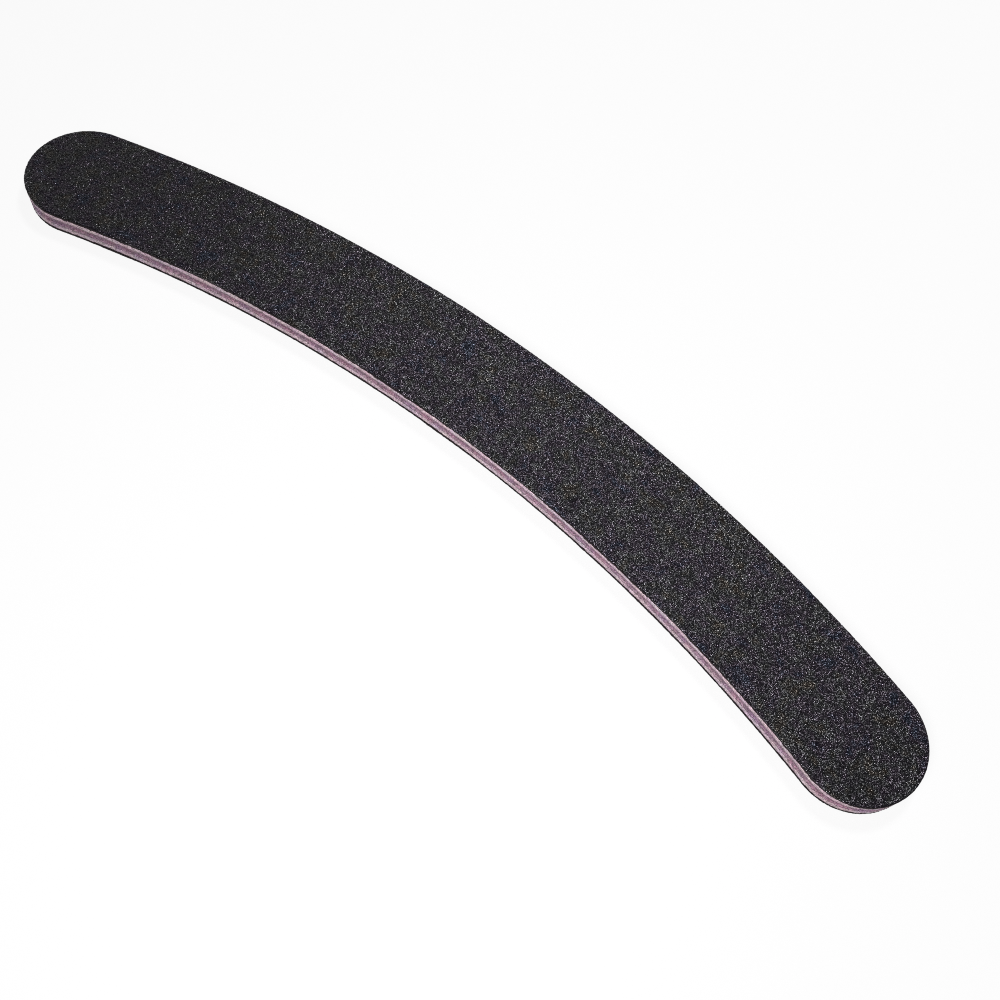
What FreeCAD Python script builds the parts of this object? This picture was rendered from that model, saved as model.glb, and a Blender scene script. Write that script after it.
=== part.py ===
"""Curved emery board: a flat, arc-shaped nail file cut from one laminated sheet.

The board is a sandwich. A plastic core board sits in the middle, with a foam pad glued to each of
its faces, and a sheet of coated abrasive paper glued to each foam pad. The blade of the cutting die
leaves a rounded edge on the foam and draws the edge of the core in, so that the light and dark bands of
the laminate can be seen from the side.

Frame: millimetres, +X along the length, +Y towards the convex side, +Z up through the layers. The
origin is in the middle of the plan outline, on the face that the board lies on.
"""
import FreeCAD
import Part
import math
import os

# Plan outline of the board, at the edge of its abrasive sheets
LENGTH = 178.0
WIDTH = 20.0
CENTRE_RADIUS = 272.0

# Thickness of each layer
GRIT_COAT = 0.14
BACKING_PAPER = 0.42
SHEET_ADHESIVE = 0.06
FOAM_PAD = 0.90
CORE_ADHESIVE = 0.05
CORE_BOARD = 1.26

# How far the edge of each layer lies inside the plan outline, at the layer's own two faces
ADHESIVE_SETBACK = 0.08
FOAM_SETBACK = 0.06
CORE_SETBACK = 0.06

# How far the middle of an edge swells past the edge at the faces, or is drawn in behind it
FOAM_SWELL = 0.05
CORE_DRAW_IN = 0.40

# Radius that cutting leaves on the outer corner of the grit, and the most of the coat that it may take
GRIT_CORNER = 0.08
CORNER_LIMIT = 0.8

# Values worked out from the sizes above
HALF_WIDTH = WIDTH / 2
HALF_ANGLE = math.asin((LENGTH / 2 - HALF_WIDTH) / CENTRE_RADIUS)
ARC_HEIGHT = CENTRE_RADIUS * (1 - math.cos(HALF_ANGLE))
ARC_CENTRE = FreeCAD.Vector(0, ARC_HEIGHT / 2 - CENTRE_RADIUS, 0)
CORNER_RADIUS = min(GRIT_CORNER, CORNER_LIMIT * GRIT_COAT)
UP = FreeCAD.Vector(0, 0, 1)

# Share of a corner's radius by which the middle of its arc lies inside the sharp corner
ARC_MIDDLE = 1 - math.sqrt(0.5)

# Three points whose triangle is smaller than this, in square millimetres, are in line
IN_LINE = 1e-9


def arc_or_line(start, through, end):
    """Edge from start to end by way of a third point, straight where the three are in line."""
    bend = (through - start).cross(end - start).Length
    if bend < IN_LINE:
        return Part.LineSegment(start, end).toShape()
    return Part.Arc(start, through, end).toShape()


def side_edges(half, low, high, swell, low_corner, high_corner):
    """Edges of one side of a layer's cross-section, from its low face to its high face.

    They lie in the XZ plane with X measured from the layer's centre line. swell is how far the middle
    of the side stands out, and each corner radius rounds the side into a face.
    """
    edges = []
    foot = FreeCAD.Vector(half, 0, low + low_corner)
    head = FreeCAD.Vector(half, 0, high - high_corner)
    if low_corner:
        start = FreeCAD.Vector(half - low_corner, 0, low)
        through = FreeCAD.Vector(half - ARC_MIDDLE * low_corner, 0, low + ARC_MIDDLE * low_corner)
        edges.append(Part.Arc(start, through, foot).toShape())
    edges.append(arc_or_line(foot, FreeCAD.Vector(half + swell, 0, (foot.z + head.z) / 2), head))
    if high_corner:
        end = FreeCAD.Vector(half - high_corner, 0, high)
        through = FreeCAD.Vector(half - ARC_MIDDLE * high_corner, 0, high - ARC_MIDDLE * high_corner)
        edges.append(Part.Arc(head, through, end).toShape())
    return edges


def section_face(side, far_side):
    """Cross-section between one side and a far side, both given as edges from low face to high face."""
    low = Part.LineSegment(far_side[0].firstVertex().Point, side[0].firstVertex().Point).toShape()
    high = Part.LineSegment(far_side[-1].lastVertex().Point, side[-1].lastVertex().Point).toShape()
    return Part.Face(Part.Wire(Part.__sortEdges__([low, high] + side + far_side)))


def layer(low, thickness, setback=0.0, swell=0.0, low_corner=0.0, high_corner=0.0):
    """One layer of the laminate: the plan outline, set back from its edge, with a shaped side all round.

    The middle of the board is its cross-section turned about the centre of the arc, and each round end
    is half of that cross-section turned about the end's own centre.
    """
    high = low + thickness
    half = HALF_WIDTH - setback
    outer_side = side_edges(half, low, high, swell, low_corner, high_corner)
    inner_side = [edge.mirror(FreeCAD.Vector(), FreeCAD.Vector(1, 0, 0)) for edge in outer_side]
    axis_low = FreeCAD.Vector(0, 0, low)
    axis_high = FreeCAD.Vector(0, 0, high)
    axis_side = [Part.LineSegment(axis_low, axis_high).toShape()]
    whole = section_face(outer_side, inner_side)
    half_section = section_face(outer_side, axis_side)

    def at_end(shape, direction):
        """The shape moved from the XZ plane to the cross-section at one end of the arc."""
        placed = shape.copy()
        placed.rotate(FreeCAD.Vector(), UP, 90)
        placed.translate(FreeCAD.Vector(0, CENTRE_RADIUS, 0) + ARC_CENTRE)
        placed.rotate(ARC_CENTRE, UP, -direction * math.degrees(HALF_ANGLE))
        return placed

    def end_centre(direction):
        """Centre of the round end on the +X side (direction 1) or the -X side (direction -1)."""
        return ARC_CENTRE + FreeCAD.Vector(
            direction * CENTRE_RADIUS * math.sin(HALF_ANGLE), CENTRE_RADIUS * math.cos(HALF_ANGLE), 0
        )

    middle = at_end(whole, 1).revolve(ARC_CENTRE, UP, math.degrees(2 * HALF_ANGLE))
    right_end = at_end(half_section, 1).revolve(end_centre(1), UP, -180)
    left_end = at_end(half_section, -1).revolve(end_centre(-1), UP, 180)
    return middle.fuse([right_end, left_end]).removeSplitter().Solids[0]


def build_layers():
    """Every layer as {name: solid}, stacked upwards from the lower abrasive face."""
    grit_low = {"low_corner": CORNER_RADIUS}
    grit_high = {"high_corner": CORNER_RADIUS}
    adhesive = {"setback": ADHESIVE_SETBACK}
    foam = {"setback": FOAM_SETBACK, "swell": FOAM_SWELL}
    core = {"setback": CORE_SETBACK, "swell": -CORE_DRAW_IN}
    stack = [
        ("lower_grit_coat", GRIT_COAT, grit_low),
        ("lower_backing_paper", BACKING_PAPER, {}),
        ("lower_sheet_adhesive", SHEET_ADHESIVE, adhesive),
        ("lower_foam_pad", FOAM_PAD, foam),
        ("lower_core_adhesive", CORE_ADHESIVE, adhesive),
        ("core_board", CORE_BOARD, core),
        ("upper_core_adhesive", CORE_ADHESIVE, adhesive),
        ("upper_foam_pad", FOAM_PAD, foam),
        ("upper_sheet_adhesive", SHEET_ADHESIVE, adhesive),
        ("upper_backing_paper", BACKING_PAPER, {}),
        ("upper_grit_coat", GRIT_COAT, grit_high),
    ]
    layers = {}
    low = 0.0
    for name, thickness, edge in stack:
        layers[name] = layer(low, thickness, **edge)
        low += thickness
    return layers


def main():
    os.makedirs("parts", exist_ok=True)
    for name, solid in build_layers().items():
        solid.exportStep(f"parts/{name}.step")
        box = solid.optimalBoundingBox()
        print(
            f"{name}: {box.XLength:.2f} x {box.YLength:.2f} mm, z {box.ZMin:.2f} to {box.ZMax:.2f},"
            f" {solid.Volume:.1f} mm3, valid {solid.isValid()}"
        )


main()
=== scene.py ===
"""Looks of the curved emery board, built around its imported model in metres.

The board is a laminate, so every layer is a thin plate with the same curved, round-ended outline. What
shows is the faceted grit on both faces, and the cut edge of paper, foam and plastic all round. Each
layer gets its own mesh with the roughness that its material has where the die cut it.
"""

import math

import bpy
import numpy as np
from mathutils import Matrix, Vector


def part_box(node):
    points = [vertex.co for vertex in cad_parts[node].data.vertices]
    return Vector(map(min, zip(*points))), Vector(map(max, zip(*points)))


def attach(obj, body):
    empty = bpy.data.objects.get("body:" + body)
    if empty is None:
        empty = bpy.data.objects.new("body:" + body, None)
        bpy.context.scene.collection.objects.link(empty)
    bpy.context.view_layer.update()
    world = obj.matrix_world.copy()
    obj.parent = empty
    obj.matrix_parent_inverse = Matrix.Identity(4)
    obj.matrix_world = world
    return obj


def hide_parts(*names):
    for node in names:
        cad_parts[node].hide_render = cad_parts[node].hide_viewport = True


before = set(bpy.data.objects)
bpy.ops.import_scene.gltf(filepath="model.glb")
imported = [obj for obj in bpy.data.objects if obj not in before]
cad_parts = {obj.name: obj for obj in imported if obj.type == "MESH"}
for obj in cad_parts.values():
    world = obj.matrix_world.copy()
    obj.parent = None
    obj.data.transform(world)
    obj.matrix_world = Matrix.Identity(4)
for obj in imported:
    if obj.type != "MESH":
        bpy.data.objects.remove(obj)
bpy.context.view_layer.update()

MM = 0.001

# Plan outline of the board, at the edge of its abrasive sheets
LENGTH = 178 * MM
WIDTH = 20 * MM
CENTRE_RADIUS = 272 * MM
HALF_WIDTH = WIDTH / 2
HALF_ANGLE = math.asin((LENGTH / 2 - HALF_WIDTH) / CENTRE_RADIUS)
ARC_CENTRE_Y = CENTRE_RADIUS * (1 - math.cos(HALF_ANGLE)) / 2 - CENTRE_RADIUS

# Spacing of the points along the cut edges, and of the grit's corners
EDGE_STEP = 0.12 * MM
GRAIN_STEP = 0.20 * MM

# Points along each long side, round each end and once round a cut edge, and its rows in each layer
EDGE_ALONG = round(2 * HALF_ANGLE * CENTRE_RADIUS / EDGE_STEP)
EDGE_AROUND = 2 * round(math.pi * HALF_WIDTH / EDGE_STEP / 2)
EDGE_LOOP = 2 * (EDGE_ALONG + EDGE_AROUND)
FOAM_ROWS = 9
CORE_ROWS = 13
PAPER_ROWS = 4

# Edge profiles: how far a layer's rim lies inside the outline, and how its middle swells or draws in
FOAM_SETBACK = 0.06 * MM
FOAM_SWELL = 0.05 * MM
CORE_SETBACK = 0.06 * MM
CORE_DRAW_IN = 0.40 * MM

# Roughness that the die leaves on each cut edge
FOAM_RIPPLE = 0.020 * MM
FOAM_PORE_DEPTH = 0.050 * MM
CORE_STREAK = 0.026 * MM
CORE_RIPPLE = 0.014 * MM
PAPER_RIPPLE = 0.014 * MM
PAPER_SWAY = 0.036 * MM
PAPER_BURR = 0.110 * MM
LONGEST_BURR = 0.200 * MM
LOWER_BURR_SHARE = 0.35

# Unevenness past which foam opens into a pore, how far past it a pore deepens, and waves of the sway
PORE_START = 0.6
PORE_LIMIT = 2
SWAY_COUNTS = (7, 11, 16, 23, 34)

# Shape of the grit: lowest corners as a share of the coat, how few stand high, and how far they stray
GRIT_VALLEY = 0.66
GRIT_SHARPNESS = 1.2
GRIT_STRAY = 0.36
GRIT_RIM_STRAY = 0.06 * MM
GRIT_RIM_DROP = 0.55


def arc_place(angle, radius):
    """Plan position at an angle from the middle of the board, on an arc of this radius."""
    return np.stack([radius * np.sin(angle), ARC_CENTRE_Y + radius * np.cos(angle)], axis=-1)


def turned(direction, angle):
    """A plan direction turned anticlockwise by each of the angles."""
    x, y = direction
    return np.stack([x * np.cos(angle) - y * np.sin(angle), x * np.sin(angle) + y * np.cos(angle)], axis=-1)


def outline(along, around):
    """Points of the plan outline and their outward directions, anticlockwise from above.

    The loop runs along the concave side in so many steps, round the +X end, back along the convex
    side and round the -X end.
    """
    right = np.linspace(-HALF_ANGLE, HALF_ANGLE, along + 1)
    left = right[::-1]
    turn = np.linspace(0, math.pi, around + 1)[1:-1]
    out_right = (math.sin(HALF_ANGLE), math.cos(HALF_ANGLE))
    out_left = (-out_right[0], out_right[1])
    end_right = arc_place(HALF_ANGLE, CENTRE_RADIUS)
    end_left = arc_place(-HALF_ANGLE, CENTRE_RADIUS)
    cap_right = turned((-out_right[0], -out_right[1]), turn)
    cap_left = turned(out_left, turn)
    points = np.concatenate([
        arc_place(right, CENTRE_RADIUS - HALF_WIDTH),
        end_right + HALF_WIDTH * cap_right,
        arc_place(left, CENTRE_RADIUS + HALF_WIDTH),
        end_left + HALF_WIDTH * cap_left,
    ])
    outward = np.concatenate([
        -np.stack([np.sin(right), np.cos(right)], axis=-1),
        cap_right,
        np.stack([np.sin(left), np.cos(left)], axis=-1),
        cap_left,
    ])
    return points, outward


def plate_faces(along, around):
    """Faces that fill the outline's loop, as strips from the concave side across to the convex side."""
    total = 2 * (along + around)
    faces = []
    for i in range(along):
        across = 2 * along + around - i
        faces.append((i, i + 1, across - 1, across))
    for start, end in ((along, along + around), (2 * along + around, total)):
        for j in range(around // 2):
            corners = [start + j, start + j + 1, (end - j - 1) % total, (end - j) % total]
            faces.append(tuple(dict.fromkeys(corners)))
    return faces


def new_object(name, vertices, faces, material, smooth):
    """A mesh object in the row frame from its points, faces and one material."""
    mesh = bpy.data.meshes.new(name)
    mesh.from_pydata(vertices.tolist(), [], faces)
    mesh.materials.append(material)
    mesh.polygons.foreach_set("use_smooth", [smooth] * len(mesh.polygons))
    mesh.update()
    piece = bpy.data.objects.new(name, mesh)
    bpy.context.collection.objects.link(piece)
    return piece


def settle(piece, node):
    """Puts a piece on the board in place of a node, and hides that node."""
    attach(piece, "root")
    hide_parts(node)


def uneven(rng, shape, along, across):
    """Random values of unit spread, evened out over so many steps along the loop and across the rows."""
    values = rng.standard_normal(shape)
    for _ in range(along):
        values = (np.roll(values, 1, axis=1) + values + np.roll(values, -1, axis=1)) / 3
    for _ in range(across):
        widened = np.pad(values, ((1, 1), (0, 0)), mode="edge")
        values = (widened[:-2] + widened[1:-1] + widened[2:]) / 3
    return (values - values.mean()) / values.std()


def sway(rng):
    """A slow random wave of unit spread round the outline."""
    turns = np.linspace(0, 2 * math.pi, EDGE_LOOP, endpoint=False)
    wave = np.zeros(EDGE_LOOP)
    for count in SWAY_COUNTS:
        wave += rng.uniform(0.5, 1) * np.sin(count * turns + rng.uniform(0, 2 * math.pi))
    return wave / wave.std()


def layer_piece(name, offsets, heights, material):
    """A closed plate whose side is given by rows of points, each row once round the outline.

    offsets and heights hold, for each row from the low face up, how far each point stands out of the
    outline and how high it lies.
    """
    points, outward = outline(EDGE_ALONG, EDGE_AROUND)
    rows = len(offsets)
    vertices = np.empty((rows, EDGE_LOOP, 3))
    vertices[:, :, :2] = points + outward * offsets[:, :, None]
    vertices[:, :, 2] = heights
    faces = []
    for row in range(rows - 1):
        low = row * EDGE_LOOP
        high = low + EDGE_LOOP
        for i in range(EDGE_LOOP):
            after = (i + 1) % EDGE_LOOP
            faces.append((low + i, low + after, high + after, high + i))
    top = (rows - 1) * EDGE_LOOP
    for face in plate_faces(EDGE_ALONG, EDGE_AROUND):
        faces.append(tuple(reversed(face)))
        faces.append(tuple(top + i for i in face))
    return new_object(name, vertices.reshape(-1, 3), faces, material, True)


def level_rows(node, rows):
    """Heights of evenly spaced rows between a node's two faces, and their places from -1 to 1."""
    low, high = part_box(node)
    heights = np.repeat(np.linspace(low[2], high[2], rows)[:, None], EDGE_LOOP, axis=1)
    return heights, np.linspace(-1, 1, rows)[:, None]


def foam_pad(node, material, seed):
    """Foam with a softly swollen edge, rippled by the blade and pitted where it opened the cells."""
    rng = np.random.default_rng(seed)
    heights, place = level_rows(node, FOAM_ROWS)
    shape = heights.shape
    swell = FOAM_SWELL * (1 - place ** 2) - FOAM_SETBACK
    ripple = FOAM_RIPPLE * uneven(rng, shape, 6, 2)
    opened = np.clip(uneven(rng, shape, 1, 1) - PORE_START, 0, PORE_LIMIT)
    pores = FOAM_PORE_DEPTH * opened * (1 - place ** 4)
    piece = layer_piece(node + "_cut", swell + ripple - pores, heights, material)
    settle(piece, node)
    return piece


def core_board(node, material, seed):
    """Plastic core with its edge drawn in, streaked up and down where the blade went through."""
    rng = np.random.default_rng(seed)
    heights, place = level_rows(node, CORE_ROWS)
    shape = heights.shape
    hollow = -CORE_SETBACK - CORE_DRAW_IN * (1 - place ** 2)
    streak = CORE_STREAK * uneven(rng, shape, 2, 9)
    ripple = CORE_RIPPLE * uneven(rng, shape, 1, 1)
    piece = layer_piece(node + "_cut", hollow + streak + ripple, heights, material)
    settle(piece, node)
    return piece


def backing_paper(node, material, seed, foam_is_below):
    """Paper with a rough rim, and a burr of fibres over the glue on its foam side.

    The blade comes from above, so it drags the upper sheet's burr on the foam and the lower sheet's away.
    """
    rng = np.random.default_rng(seed)
    heights, place = level_rows(node, PAPER_ROWS)
    shape = heights.shape
    rim = PAPER_RIPPLE * (uneven(rng, shape, 2, 1) - 1) + PAPER_SWAY * sway(rng)
    burr = PAPER_BURR * (uneven(rng, (1, EDGE_LOOP), 8, 0) + uneven(rng, (1, EDGE_LOOP), 1, 0) / 2)[0]
    burr = np.clip(burr, 0, LONGEST_BURR)
    if foam_is_below:
        heights[0] -= burr
    else:
        heights[-1] += LOWER_BURR_SHARE * burr
    piece = layer_piece(node + "_cut", rim, heights, material)
    settle(piece, node)
    return piece


def zipped(inner, outer):
    """Triangles between two rows of points that run the same way round, with different counts."""
    faces = []
    i = 0
    j = 0
    while i < len(inner) - 1 or j < len(outer) - 1:
        inner_next = (i + 1) / max(len(inner) - 1, 1) if i < len(inner) - 1 else 2
        outer_next = (j + 1) / (len(outer) - 1) if j < len(outer) - 1 else 2
        if outer_next <= inner_next:
            faces.append((inner[i], outer[j], outer[j + 1]))
            j += 1
        else:
            faces.append((inner[i], outer[j], inner[i + 1]))
            i += 1
    return faces


class GritField:
    """Points of the grit: a grid along the board, and rings of points in each round end.

    Each row of the grid lies at a multiple of the same step from the centre line, so that ring k of an
    end starts and stops on the grid's rows k and -k.
    """

    def __init__(self, rng):
        self.half = round(HALF_WIDTH / GRAIN_STEP)
        self.columns = round(2 * HALF_ANGLE * CENTRE_RADIUS / GRAIN_STEP)
        self.rows = 2 * self.half + 1
        self.step = HALF_WIDTH / self.half
        self.rng = rng
        self.plan = [self.grid_places().reshape(-1, 2)]
        self.count = (self.columns + 1) * self.rows
        self.faces = self.grid_faces()
        self.rim = [self.at(i, -self.half) for i in range(self.columns + 1)]
        self.add_end(self.columns, 1)
        self.rim += [self.at(i, self.half) for i in reversed(range(self.columns + 1))]
        self.add_end(0, -1)
        self.plan = np.concatenate(self.plan)

    def at(self, column, row):
        """Index of a grid point; row counts from the centre line."""
        return column * self.rows + row + self.half

    def stray(self, shape):
        """Random sideways shifts that keep each point within its own cell."""
        return self.rng.uniform(-GRIT_STRAY, GRIT_STRAY, shape) * self.step

    def grid_places(self):
        """Plan places of the grid's points, shifted at random except across the rim."""
        angle = np.linspace(-HALF_ANGLE, HALF_ANGLE, self.columns + 1)[:, None]
        across = np.linspace(-HALF_WIDTH, HALF_WIDTH, self.rows)[None, :]
        shape = (self.columns + 1, self.rows)
        sideways = self.stray(shape)
        sideways[:, [0, -1]] = self.rng.uniform(-1, 0, (self.columns + 1, 2)) * GRIT_RIM_STRAY
        sideways[:, 0] *= -1
        return arc_place(angle + self.stray(shape) / CENTRE_RADIUS, CENTRE_RADIUS + across + sideways)

    def grid_faces(self):
        """Two triangles in each cell of the grid, split along either diagonal at random."""
        faces = []
        flips = self.rng.random((self.columns, self.rows)) < 0.5
        for i in range(self.columns):
            for row in range(-self.half, self.half):
                a = self.at(i, row)
                b = self.at(i + 1, row)
                if flips[i, row]:
                    faces += [(a, b, b + 1), (a, b + 1, a + 1)]
                else:
                    faces += [(a, b, a + 1), (b, b + 1, a + 1)]
        return faces

    def add_end(self, column, direction):
        """Rings of points round one end's centre, anticlockwise, and the triangles between them."""
        centre = arc_place(direction * HALF_ANGLE, CENTRE_RADIUS)
        first = (-math.sin(HALF_ANGLE), -direction * math.cos(HALF_ANGLE))
        inner = [self.at(column, 0)]
        for k in range(1, self.half + 1):
            steps = round(math.pi * k)
            turn = np.linspace(0, math.pi, steps + 1)[1:-1]
            radius = np.full(turn.shape, k * self.step)
            if k < self.half:
                radius += self.stray(turn.shape)
                turn = turn + self.stray(turn.shape) / (k * self.step)
            else:
                radius += self.rng.uniform(-1, 0, turn.shape) * GRIT_RIM_STRAY
            self.plan.append(centre + turned(first, turn) * radius[:, None])
            middle = list(range(self.count, self.count + len(turn)))
            self.count += len(turn)
            outer = [self.at(column, -direction * k)] + middle + [self.at(column, direction * k)]
            self.faces += zipped(inner, outer)
            inner = outer
        self.rim += middle


def grit_coat(node, material, seed, faces_up):
    """A coat of sharp grains: corners at random heights, with a flat facet between each three."""
    rng = np.random.default_rng(seed)
    field = GritField(rng)
    low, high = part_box(node)
    depth = high[2] - low[2]
    relief = GRIT_VALLEY + (1 - GRIT_VALLEY) * rng.random(field.count) ** GRIT_SHARPNESS
    relief[field.rim] *= GRIT_RIM_DROP
    base = low[2] if faces_up else high[2]
    reach = depth if faces_up else -depth
    rim = np.array(field.rim)
    vertices = np.empty((field.count + len(rim), 3))
    vertices[:field.count, :2] = field.plan
    vertices[:field.count, 2] = base + reach * relief
    vertices[field.count:, :2] = field.plan[rim]
    vertices[field.count:, 2] = base
    faces = list(field.faces)
    loop = len(rim)
    for i in range(loop):
        after = (i + 1) % loop
        faces.append((field.count + i, field.count + after, field.rim[after], field.rim[i]))
    end_steps = round(math.pi * field.half)
    for face in plate_faces(field.columns, end_steps):
        faces.append(tuple(field.count + i for i in reversed(face)))
    if not faces_up:
        faces = [tuple(reversed(face)) for face in faces]
    piece = new_object(node + "_grains", vertices, faces, material, False)
    settle(piece, node)
    return piece


# Values of a noise pattern between which nearly all of it lies
NOISE_SPAN = (0.3, 0.7)

# Chips of broken grain and torn foam cells to the metre, and how far a chip leans
CHIPS_TO_METRE = 14000
CELLS_TO_METRE = 6500
CHIP_LEAN = 0.64

# Refractive index of the resin over the grains
RESIN_IOR = 1.54

# Distances from the board's middle plane over which the foam gets painted shade, darker towards the core's
# hollow
FOAM_SHADE_SPAN = (0.68 * MM, 1.05 * MM)


class Tree:
    """One material's node tree, with a Principled shader and the patterns that feed it."""

    def __init__(self, name):
        self.material = bpy.data.materials.new(name)
        self.material.use_nodes = True
        self.nodes = self.material.node_tree.nodes
        self.links = self.material.node_tree.links
        self.shader = self.nodes["Principled BSDF"]
        self.place = self.nodes.new("ShaderNodeTexCoord").outputs["Object"]

    def add(self, kind, **inputs):
        """A new node, with its named inputs set to values or linked to other nodes' outputs."""
        node = self.nodes.new(kind)
        for name, value in inputs.items():
            self.feed(node.inputs[name.replace("_", " ")], value)
        return node

    def feed(self, socket, value):
        """Links an output to a socket, or sets the socket's own value."""
        if isinstance(value, bpy.types.NodeSocket):
            self.links.new(value, socket)
        else:
            socket.default_value = value

    def maths(self, operation, first, second=0.0):
        """The result of one sum on two values."""
        node = self.nodes.new("ShaderNodeMath")
        node.operation = operation
        self.feed(node.inputs[0], first)
        self.feed(node.inputs[1], second)
        return node.outputs["Value"]

    def axis(self, name):
        """One of the surface's three coordinates, in metres."""
        return self.add("ShaderNodeSeparateXYZ", Vector=self.place).outputs[name]

    def unrolled(self, along, up):
        """The cut edge laid out flat, with so many features to the metre along the board and upwards."""
        angle = self.maths("ARCTAN2", self.axis("X"), self.maths("SUBTRACT", self.axis("Y"), ARC_CENTRE_Y))
        flat = self.nodes.new("ShaderNodeCombineXYZ")
        self.links.new(self.maths("MULTIPLY", angle, CENTRE_RADIUS * along), flat.inputs["X"])
        self.links.new(self.maths("MULTIPLY", self.axis("Z"), up), flat.inputs["Z"])
        return flat.outputs["Vector"]

    def stretched(self, scale):
        """The surface's coordinates, scaled differently along each axis."""
        node = self.nodes.new("ShaderNodeMapping")
        self.links.new(self.place, node.inputs["Vector"])
        node.inputs["Scale"].default_value = scale
        return node.outputs["Vector"]

    def noise(self, scale, detail=3.0, roughness=0.55, vector=None):
        """Soft noise between 0 and 1, with so many features to the metre."""
        node = self.add("ShaderNodeTexNoise", Vector=vector or self.place, Scale=scale)
        node.inputs["Detail"].default_value = detail
        node.inputs["Roughness"].default_value = roughness
        return node.outputs["Fac"]

    def cells(self, scale, output="Color"):
        """Cells with so many to the metre: a random colour each, or the distance inside them."""
        return self.add("ShaderNodeTexVoronoi", Vector=self.place, Scale=scale).outputs[output]

    def part(self, colour, channel):
        """One channel of a random colour, as a random number."""
        return self.add("ShaderNodeSeparateColor", Color=colour).outputs[channel]

    def between(self, value, low, high, start=0.0, stop=1.0):
        """A value moved from the range start..stop to the range low..high."""
        node = self.add("ShaderNodeMapRange", Value=value)
        node.inputs["From Min"].default_value = start
        node.inputs["From Max"].default_value = stop
        node.inputs["To Min"].default_value = low
        node.inputs["To Max"].default_value = high
        return node.outputs["Result"]

    def ramp(self, value, stops):
        """Colours along a value, as {place: colour}."""
        node = self.add("ShaderNodeValToRGB", Fac=value)
        elements = node.color_ramp.elements
        while len(elements) < len(stops):
            elements.new(0.5)
        for element, (place, colour) in zip(elements, sorted(stops.items())):
            element.position = place
            element.color = (*colour, 1)
        return node.outputs["Color"]

    def scaled(self, colour, amount):
        """A colour made lighter or darker by a value."""
        node = self.nodes.new("ShaderNodeVectorMath")
        node.operation = "SCALE"
        self.feed(node.inputs[0], colour)
        self.feed(node.inputs["Scale"], amount)
        return node.outputs["Vector"]

    def tinted(self, colour, tint):
        """A colour seen through another."""
        node = self.nodes.new("ShaderNodeVectorMath")
        node.operation = "MULTIPLY"
        self.feed(node.inputs[0], colour)
        self.feed(node.inputs[1], tint)
        return node.outputs["Vector"]

    def chips(self, colour, amount):
        """Tilts each cell of a random colour its own way, as the flat chips of a broken grain lie."""
        lean = self.nodes.new("ShaderNodeVectorMath")
        lean.operation = "MULTIPLY_ADD"
        self.links.new(colour, lean.inputs[0])
        lean.inputs[1].default_value = (amount, amount, amount)
        lean.inputs[2].default_value = (-amount / 2, -amount / 2, -amount / 2)
        facing = self.nodes.new("ShaderNodeNewGeometry").outputs["Normal"]
        tilted = self.nodes.new("ShaderNodeVectorMath")
        tilted.operation = "ADD"
        self.links.new(facing, tilted.inputs[0])
        self.links.new(lean.outputs["Vector"], tilted.inputs[1])
        unit = self.nodes.new("ShaderNodeVectorMath")
        unit.operation = "NORMALIZE"
        self.links.new(tilted.outputs["Vector"], unit.inputs[0])
        self.links.new(unit.outputs["Vector"], self.shader.inputs["Normal"])

    def bump(self, height, distance, strength):
        """Surface tilt from a height pattern of so many metres."""
        node = self.add("ShaderNodeBump", Height=height, Distance=distance, Strength=strength)
        self.links.new(node.outputs["Normal"], self.shader.inputs["Normal"])


def grit_material(node):
    """Black silicon carbide: sharp glossy grains of slightly different tints, dull resin between them."""
    tree = Tree("grit_" + node)
    grain = tree.cells(CHIPS_TO_METRE)
    patch = tree.noise(360, 2.0)
    tint = tree.ramp(patch, {
        0.30: (0.0028, 0.0032, 0.0074),
        0.42: (0.0056, 0.0034, 0.0068),
        0.50: (0.0046, 0.0038, 0.0058),
        0.58: (0.0042, 0.0044, 0.0050),
        0.72: (0.0070, 0.0044, 0.0036),
    })
    shine = tree.ramp(patch, {
        0.30: (0.68, 0.76, 1.00),
        0.42: (0.96, 0.82, 1.00),
        0.50: (0.94, 0.89, 1.00),
        0.58: (0.93, 0.94, 0.98),
        0.72: (1.00, 0.90, 0.80),
    })
    gloss = tree.ramp(tree.part(grain, "Green"), {
        0.00: (0.06, 0.06, 0.06),
        0.30: (0.10, 0.10, 0.10),
        0.40: (0.20, 0.20, 0.20),
        1.00: (0.32, 0.32, 0.32),
    })
    cloud = tree.between(tree.noise(220), 0.8, 1.2, *NOISE_SPAN)
    tree.feed(tree.shader.inputs["Base Color"], tree.scaled(tint, cloud))
    tree.feed(tree.shader.inputs["Specular Tint"], shine)
    tree.feed(tree.shader.inputs["Roughness"], gloss)
    tree.shader.inputs["IOR"].default_value = RESIN_IOR
    tree.chips(grain, CHIP_LEAN)
    return tree.material


def paper_material():
    """Black backing paper: matt, with short fibres along its cut edge."""
    tree = Tree("black_paper")
    fibre = tree.noise(1, 4.0, 0.6, tree.stretched((2500, 2500, 9000)))
    tree.feed(tree.shader.inputs["Base Color"], tree.ramp(fibre, {
        0.3: (0.006, 0.003, 0.004),
        0.7: (0.017, 0.008, 0.011),
    }))
    tree.feed(tree.shader.inputs["Roughness"], tree.between(fibre, 0.7, 0.95))
    tree.shader.inputs["Specular IOR Level"].default_value = 0.25
    tree.bump(fibre, 0.02 * MM, 0.6)
    return tree.material


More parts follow.
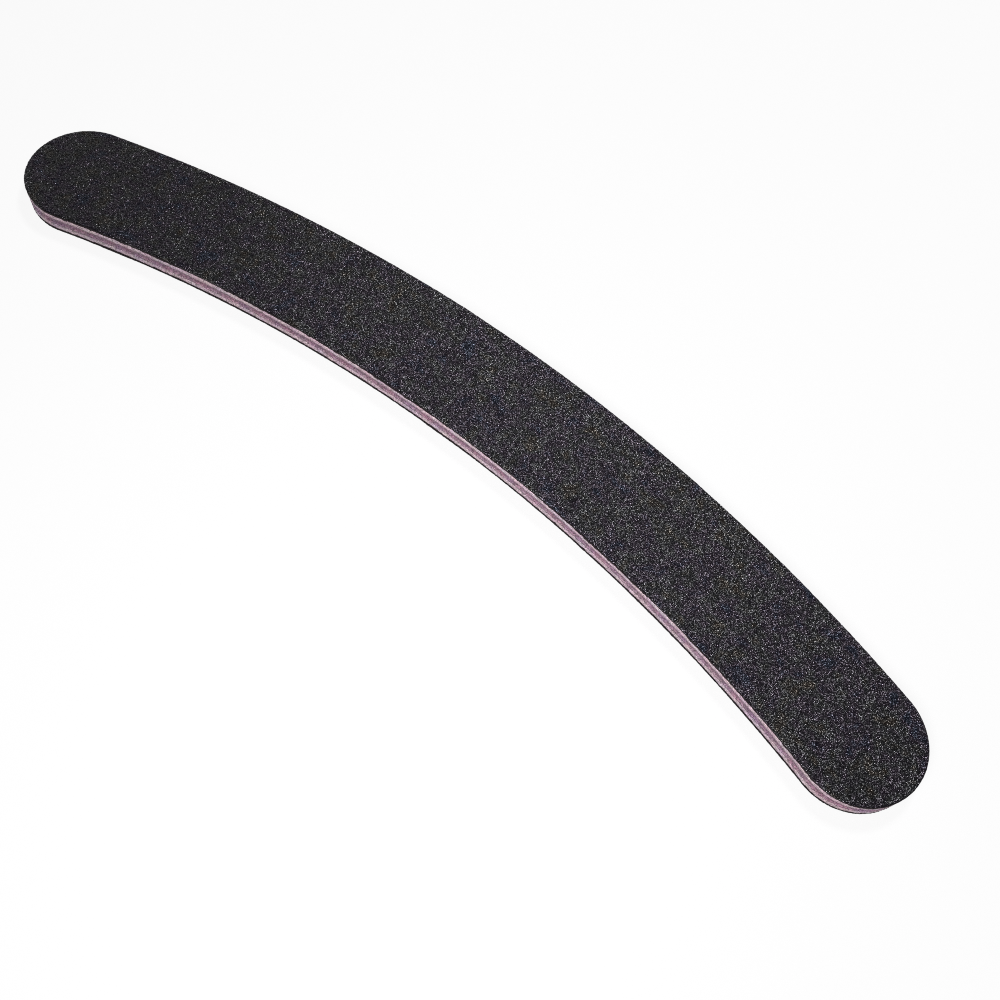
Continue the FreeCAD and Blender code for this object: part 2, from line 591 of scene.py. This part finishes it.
def cut_marks(tree, darkest_cell, lightest_cell, smudge_depth):
    """How light or dark the blade leaves each spot of a cut edge: torn cells, smudges and rare dust."""
    cell = tree.between(tree.part(tree.cells(CELLS_TO_METRE), "Red"), darkest_cell, lightest_cell)
    smudge = tree.noise(1, 4.0, 0.65, tree.unrolled(1200, 2400))
    smudge = tree.between(smudge, 1 - smudge_depth, 1 + smudge_depth, *NOISE_SPAN)
    dust = tree.between(tree.noise(2600, 2.0), 1.0, 0.6, 0.68, 0.76)
    return tree.maths("MULTIPLY", cell, tree.maths("MULTIPLY", smudge, dust))


def wander(tree, reach):
    """How far the border of the painted shade between core and foam strays up or down along the edge."""
    return tree.between(tree.noise(1, 3.0, 0.6, tree.unrolled(1300, 0)), -reach, reach, *NOISE_SPAN)


def colour_cast(tree):
    """Slightly purple and slightly green spots of a cut edge."""
    return tree.ramp(tree.noise(700, 3.0), {
        0.35: (1.00, 0.93, 1.00),
        0.65: (1.00, 1.07, 1.00),
    })


def foam_material():
    """Pale pink foam: patches of warmer and cooler pink, painted shade towards the core's hollow, drag
    lines along the cut, and small open cells.
    """
    tree = Tree("pink_foam")
    wall = tree.cells(CELLS_TO_METRE, "Distance")
    patch = tree.noise(420, 4.0)
    base = tree.ramp(patch, {
        0.35: (0.75, 0.60, 0.72),
        0.50: (0.81, 0.62, 0.70),
        0.65: (0.86, 0.63, 0.70),
    })
    low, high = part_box("core_board")
    from_middle = tree.maths("ABSOLUTE", tree.maths("SUBTRACT", tree.axis("Z"), (low[2] + high[2]) / 2))
    # Painted shade: the foam gets darker towards the core, as if shaded by the hollow between the foam pads
    shade_near_core = tree.between(tree.maths("ADD", from_middle, wander(tree, 0.16 * MM)), 0.76, 1.0, *FOAM_SHADE_SPAN)
    drag = tree.between(tree.noise(1, 3.0, 0.6, tree.unrolled(700, 9000)), 0.78, 1.20, *NOISE_SPAN)
    marks = tree.maths("MULTIPLY", drag, cut_marks(tree, 0.44, 1.48, 0.27))
    shade = tree.maths("MULTIPLY", shade_near_core, marks)
    tree.feed(tree.shader.inputs["Base Color"], tree.scaled(tree.tinted(base, colour_cast(tree)), shade))
    tree.feed(tree.shader.inputs["Roughness"], tree.between(patch, 0.65, 0.85, *NOISE_SPAN))
    tree.bump(wall, 0.03 * MM, 0.5)
    return tree.material


def core_material():
    """Mauve plastic with painted shade: paler at its rims and darker in the hollow between them; streaked
    by the blade.
    """
    tree = Tree("mauve_plastic")
    low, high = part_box("core_board")
    from_middle = tree.maths("ABSOLUTE", tree.between(tree.axis("Z"), -1, 1, low[2], high[2]))
    # Painted shade: the colour darkens from the rims into the middle of the hollow, where the foam above
    # shades it
    base = tree.ramp(tree.maths("SUBTRACT", from_middle, wander(tree, 0.18)), {
        0.50: (0.25, 0.146, 0.202),
        0.66: (0.27, 0.160, 0.220),
        0.82: (0.37, 0.227, 0.301),
        1.00: (0.45, 0.290, 0.375),
    })
    streak = tree.noise(1, 3.0, 0.6, tree.stretched((7000, 7000, 500)))
    drag = tree.noise(1, 3.0, 0.6, tree.unrolled(500, 7000))
    patch = tree.ramp(tree.noise(420, 4.0), {
        0.35: (0.93, 0.945, 1.07),
        0.50: (1.00, 1.00, 1.00),
        0.65: (1.11, 0.97, 0.985),
    })
    streaks = tree.between(streak, 0.68, 1.32, *NOISE_SPAN)
    drags = tree.between(drag, 0.76, 1.24, *NOISE_SPAN)
    lines = tree.maths("MULTIPLY", streaks, drags)
    marks = tree.maths("MULTIPLY", lines, cut_marks(tree, 0.48, 1.52, 0.36))
    colour = tree.tinted(tree.tinted(base, patch), colour_cast(tree))
    tree.feed(tree.shader.inputs["Base Color"], tree.scaled(colour, marks))
    tree.feed(tree.shader.inputs["Roughness"], tree.between(streak, 0.4, 0.6))
    tree.bump(streak, 0.02 * MM, 0.5)
    return tree.material


def adhesive_material():
    """Pinkish glue film: slightly glossy, with specks of dust in its edge."""
    tree = Tree("glue_film")
    speck = tree.noise(5000, 3.0)
    tree.feed(tree.shader.inputs["Base Color"], tree.ramp(speck, {
        0.35: (0.24, 0.18, 0.20),
        0.65: (0.42, 0.33, 0.37),
    }))
    tree.feed(tree.shader.inputs["Roughness"], tree.between(speck, 0.3, 0.55))
    tree.bump(speck, 0.01 * MM, 0.4)
    return tree.material


# Stage: a white table and backdrop, a lamp over the far side that makes the grit glint, and a front light
FLOOR_RADIUS = 3.0
BACKDROP_HEIGHT = 1.1
BACKDROP_SIDES = 64
FLOOR_WHITE = 0.45
SHADOW_SHARE = 0.12
WORLD_LIGHT = 0.06
KEY_PLACE = (-0.02, 0.24, 0.46)
KEY_SIZE = 0.095
KEY_POWER = 1.18
KEY_SPREAD = math.radians(180)
FRONT_PLACE = (0.03, -0.17, 0.22)
FRONT_SIZE = 0.08
FRONT_POWER = 0.115
FRONT_SPREAD = math.radians(80)
LIGHT_AIM = (0.03, -0.01, 0.0)

# Camera: where the photograph was taken from, as a direction and distance from a point by the board
CAMERA_AIM = (14.64 * MM, -7.33 * MM, 0.1 * MM)
CAMERA_AZIMUTH = math.radians(28.47)
CAMERA_ELEVATION = math.radians(62.81)
CAMERA_ROLL = math.radians(10.42)
CAMERA_DISTANCE = 180.0 * MM
CAMERA_LENS = 40.75
CAMERA_SENSOR = 36.0


def table_material():
    """Matt white to light, and an even white with the board's shadow to the camera."""
    material = bpy.data.materials.new("white_table")
    material.use_nodes = True
    nodes = material.node_tree.nodes
    links = material.node_tree.links
    nodes.clear()
    matt = nodes.new("ShaderNodeBsdfDiffuse")
    matt.inputs["Color"].default_value = (FLOOR_WHITE, FLOOR_WHITE, FLOOR_WHITE, 1)
    white = nodes.new("ShaderNodeEmission")
    shaded = nodes.new("ShaderNodeBsdfDiffuse")
    shaded.inputs["Color"].default_value = (1, 1, 1, 1)
    seen = nodes.new("ShaderNodeMixShader")
    seen.inputs["Fac"].default_value = SHADOW_SHARE
    links.new(white.outputs[0], seen.inputs[1])
    links.new(shaded.outputs[0], seen.inputs[2])
    path = nodes.new("ShaderNodeLightPath")
    straight = nodes.new("ShaderNodeMath")
    straight.operation = "MAXIMUM"
    links.new(path.outputs["Is Camera Ray"], straight.inputs[0])
    links.new(path.outputs["Is Glossy Ray"], straight.inputs[1])
    every = nodes.new("ShaderNodeMath")
    every.operation = "MAXIMUM"
    links.new(straight.outputs[0], every.inputs[0])
    links.new(path.outputs["Is Transmission Ray"], every.inputs[1])
    choice = nodes.new("ShaderNodeMixShader")
    links.new(every.outputs[0], choice.inputs["Fac"])
    links.new(matt.outputs[0], choice.inputs[1])
    links.new(seen.outputs[0], choice.inputs[2])
    output = nodes.new("ShaderNodeOutputMaterial")
    links.new(choice.outputs[0], output.inputs["Surface"])
    return material


def add_floor():
    """A round white table, with a backdrop along its edge."""
    turn = np.linspace(0, 2 * math.pi, BACKDROP_SIDES, endpoint=False)
    ring = FLOOR_RADIUS * np.stack([np.cos(turn), np.sin(turn)], axis=-1)
    low = np.column_stack([ring, np.zeros(BACKDROP_SIDES)])
    high = np.column_stack([ring, np.full(BACKDROP_SIDES, BACKDROP_HEIGHT)])
    faces = [tuple(range(BACKDROP_SIDES))]
    for i in range(BACKDROP_SIDES):
        after = (i + 1) % BACKDROP_SIDES
        faces.append((i, BACKDROP_SIDES + i, BACKDROP_SIDES + after, after))
    mesh = bpy.data.meshes.new("floor")
    mesh.from_pydata(np.concatenate([low, high]).tolist(), [], faces)
    mesh.materials.append(table_material())
    floor = bpy.data.objects.new("floor", mesh)
    bpy.context.collection.objects.link(floor)


def add_lamp(name, place, size, power, spread):
    """A square soft box at a place, turned to the board, that lights so wide an angle."""
    data = bpy.data.lights.new(name, "AREA")
    data.size = size
    data.energy = power
    data.spread = spread
    lamp = bpy.data.objects.new(name, data)
    bpy.context.collection.objects.link(lamp)
    lamp.location = place
    lamp.rotation_euler = (Vector(LIGHT_AIM) - Vector(place)).to_track_quat("-Z", "Y").to_euler()


def add_world():
    """A dim, even room round the lamps."""
    world = bpy.data.worlds.new("studio")
    world.use_nodes = True
    world.node_tree.nodes["Background"].inputs["Color"].default_value = (1, 1, 1, 1)
    world.node_tree.nodes["Background"].inputs["Strength"].default_value = WORLD_LIGHT
    bpy.context.scene.world = world


def add_camera():
    """Camera at the photograph's place, turned about its own axis as the photograph is."""
    back = Vector((
        math.sin(CAMERA_AZIMUTH) * math.cos(CAMERA_ELEVATION),
        -math.cos(CAMERA_AZIMUTH) * math.cos(CAMERA_ELEVATION),
        math.sin(CAMERA_ELEVATION),
    ))
    data = bpy.data.cameras.new("camera")
    data.lens = CAMERA_LENS
    data.sensor_width = CAMERA_SENSOR
    data.clip_start = 0.01
    camera = bpy.data.objects.new("camera", data)
    bpy.context.collection.objects.link(camera)
    upright = back.to_track_quat("Z", "Y").to_matrix().to_4x4()
    place = Matrix.Translation(Vector(CAMERA_AIM) + back * CAMERA_DISTANCE)
    camera.matrix_world = place @ upright @ Matrix.Rotation(CAMERA_ROLL, 4, "Z")
    bpy.context.scene.camera = camera


def build_board():
    """All the layers, from the lower face up."""
    paper = paper_material()
    foam = foam_material()
    glue = adhesive_material()
    grit_coat("lower_grit_coat", grit_material("lower"), seed=11, faces_up=False)
    backing_paper("lower_backing_paper", paper, seed=12, foam_is_below=False)
    foam_pad("lower_foam_pad", foam, seed=13)
    core_board("core_board", core_material(), seed=14)
    foam_pad("upper_foam_pad", foam, seed=15)
    backing_paper("upper_backing_paper", paper, seed=16, foam_is_below=True)
    grit_coat("upper_grit_coat", grit_material("upper"), seed=17, faces_up=True)
    for half in ("lower", "upper"):
        for neighbour in ("sheet", "core"):
            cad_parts[f"{half}_{neighbour}_adhesive"].data.materials[0] = glue


build_board()
add_floor()
add_world()
add_lamp("key_light", KEY_PLACE, KEY_SIZE, KEY_POWER, KEY_SPREAD)
add_lamp("front_light", FRONT_PLACE, FRONT_SIZE, FRONT_POWER, FRONT_SPREAD)
add_camera()
bpy.context.scene.view_settings.view_transform = "Standard"

# Crisp pixels without smoothing, so that single grains keep their glints
bpy.context.scene.cycles.use_denoising = False
bpy.context.scene.cycles.filter_width = 1.0
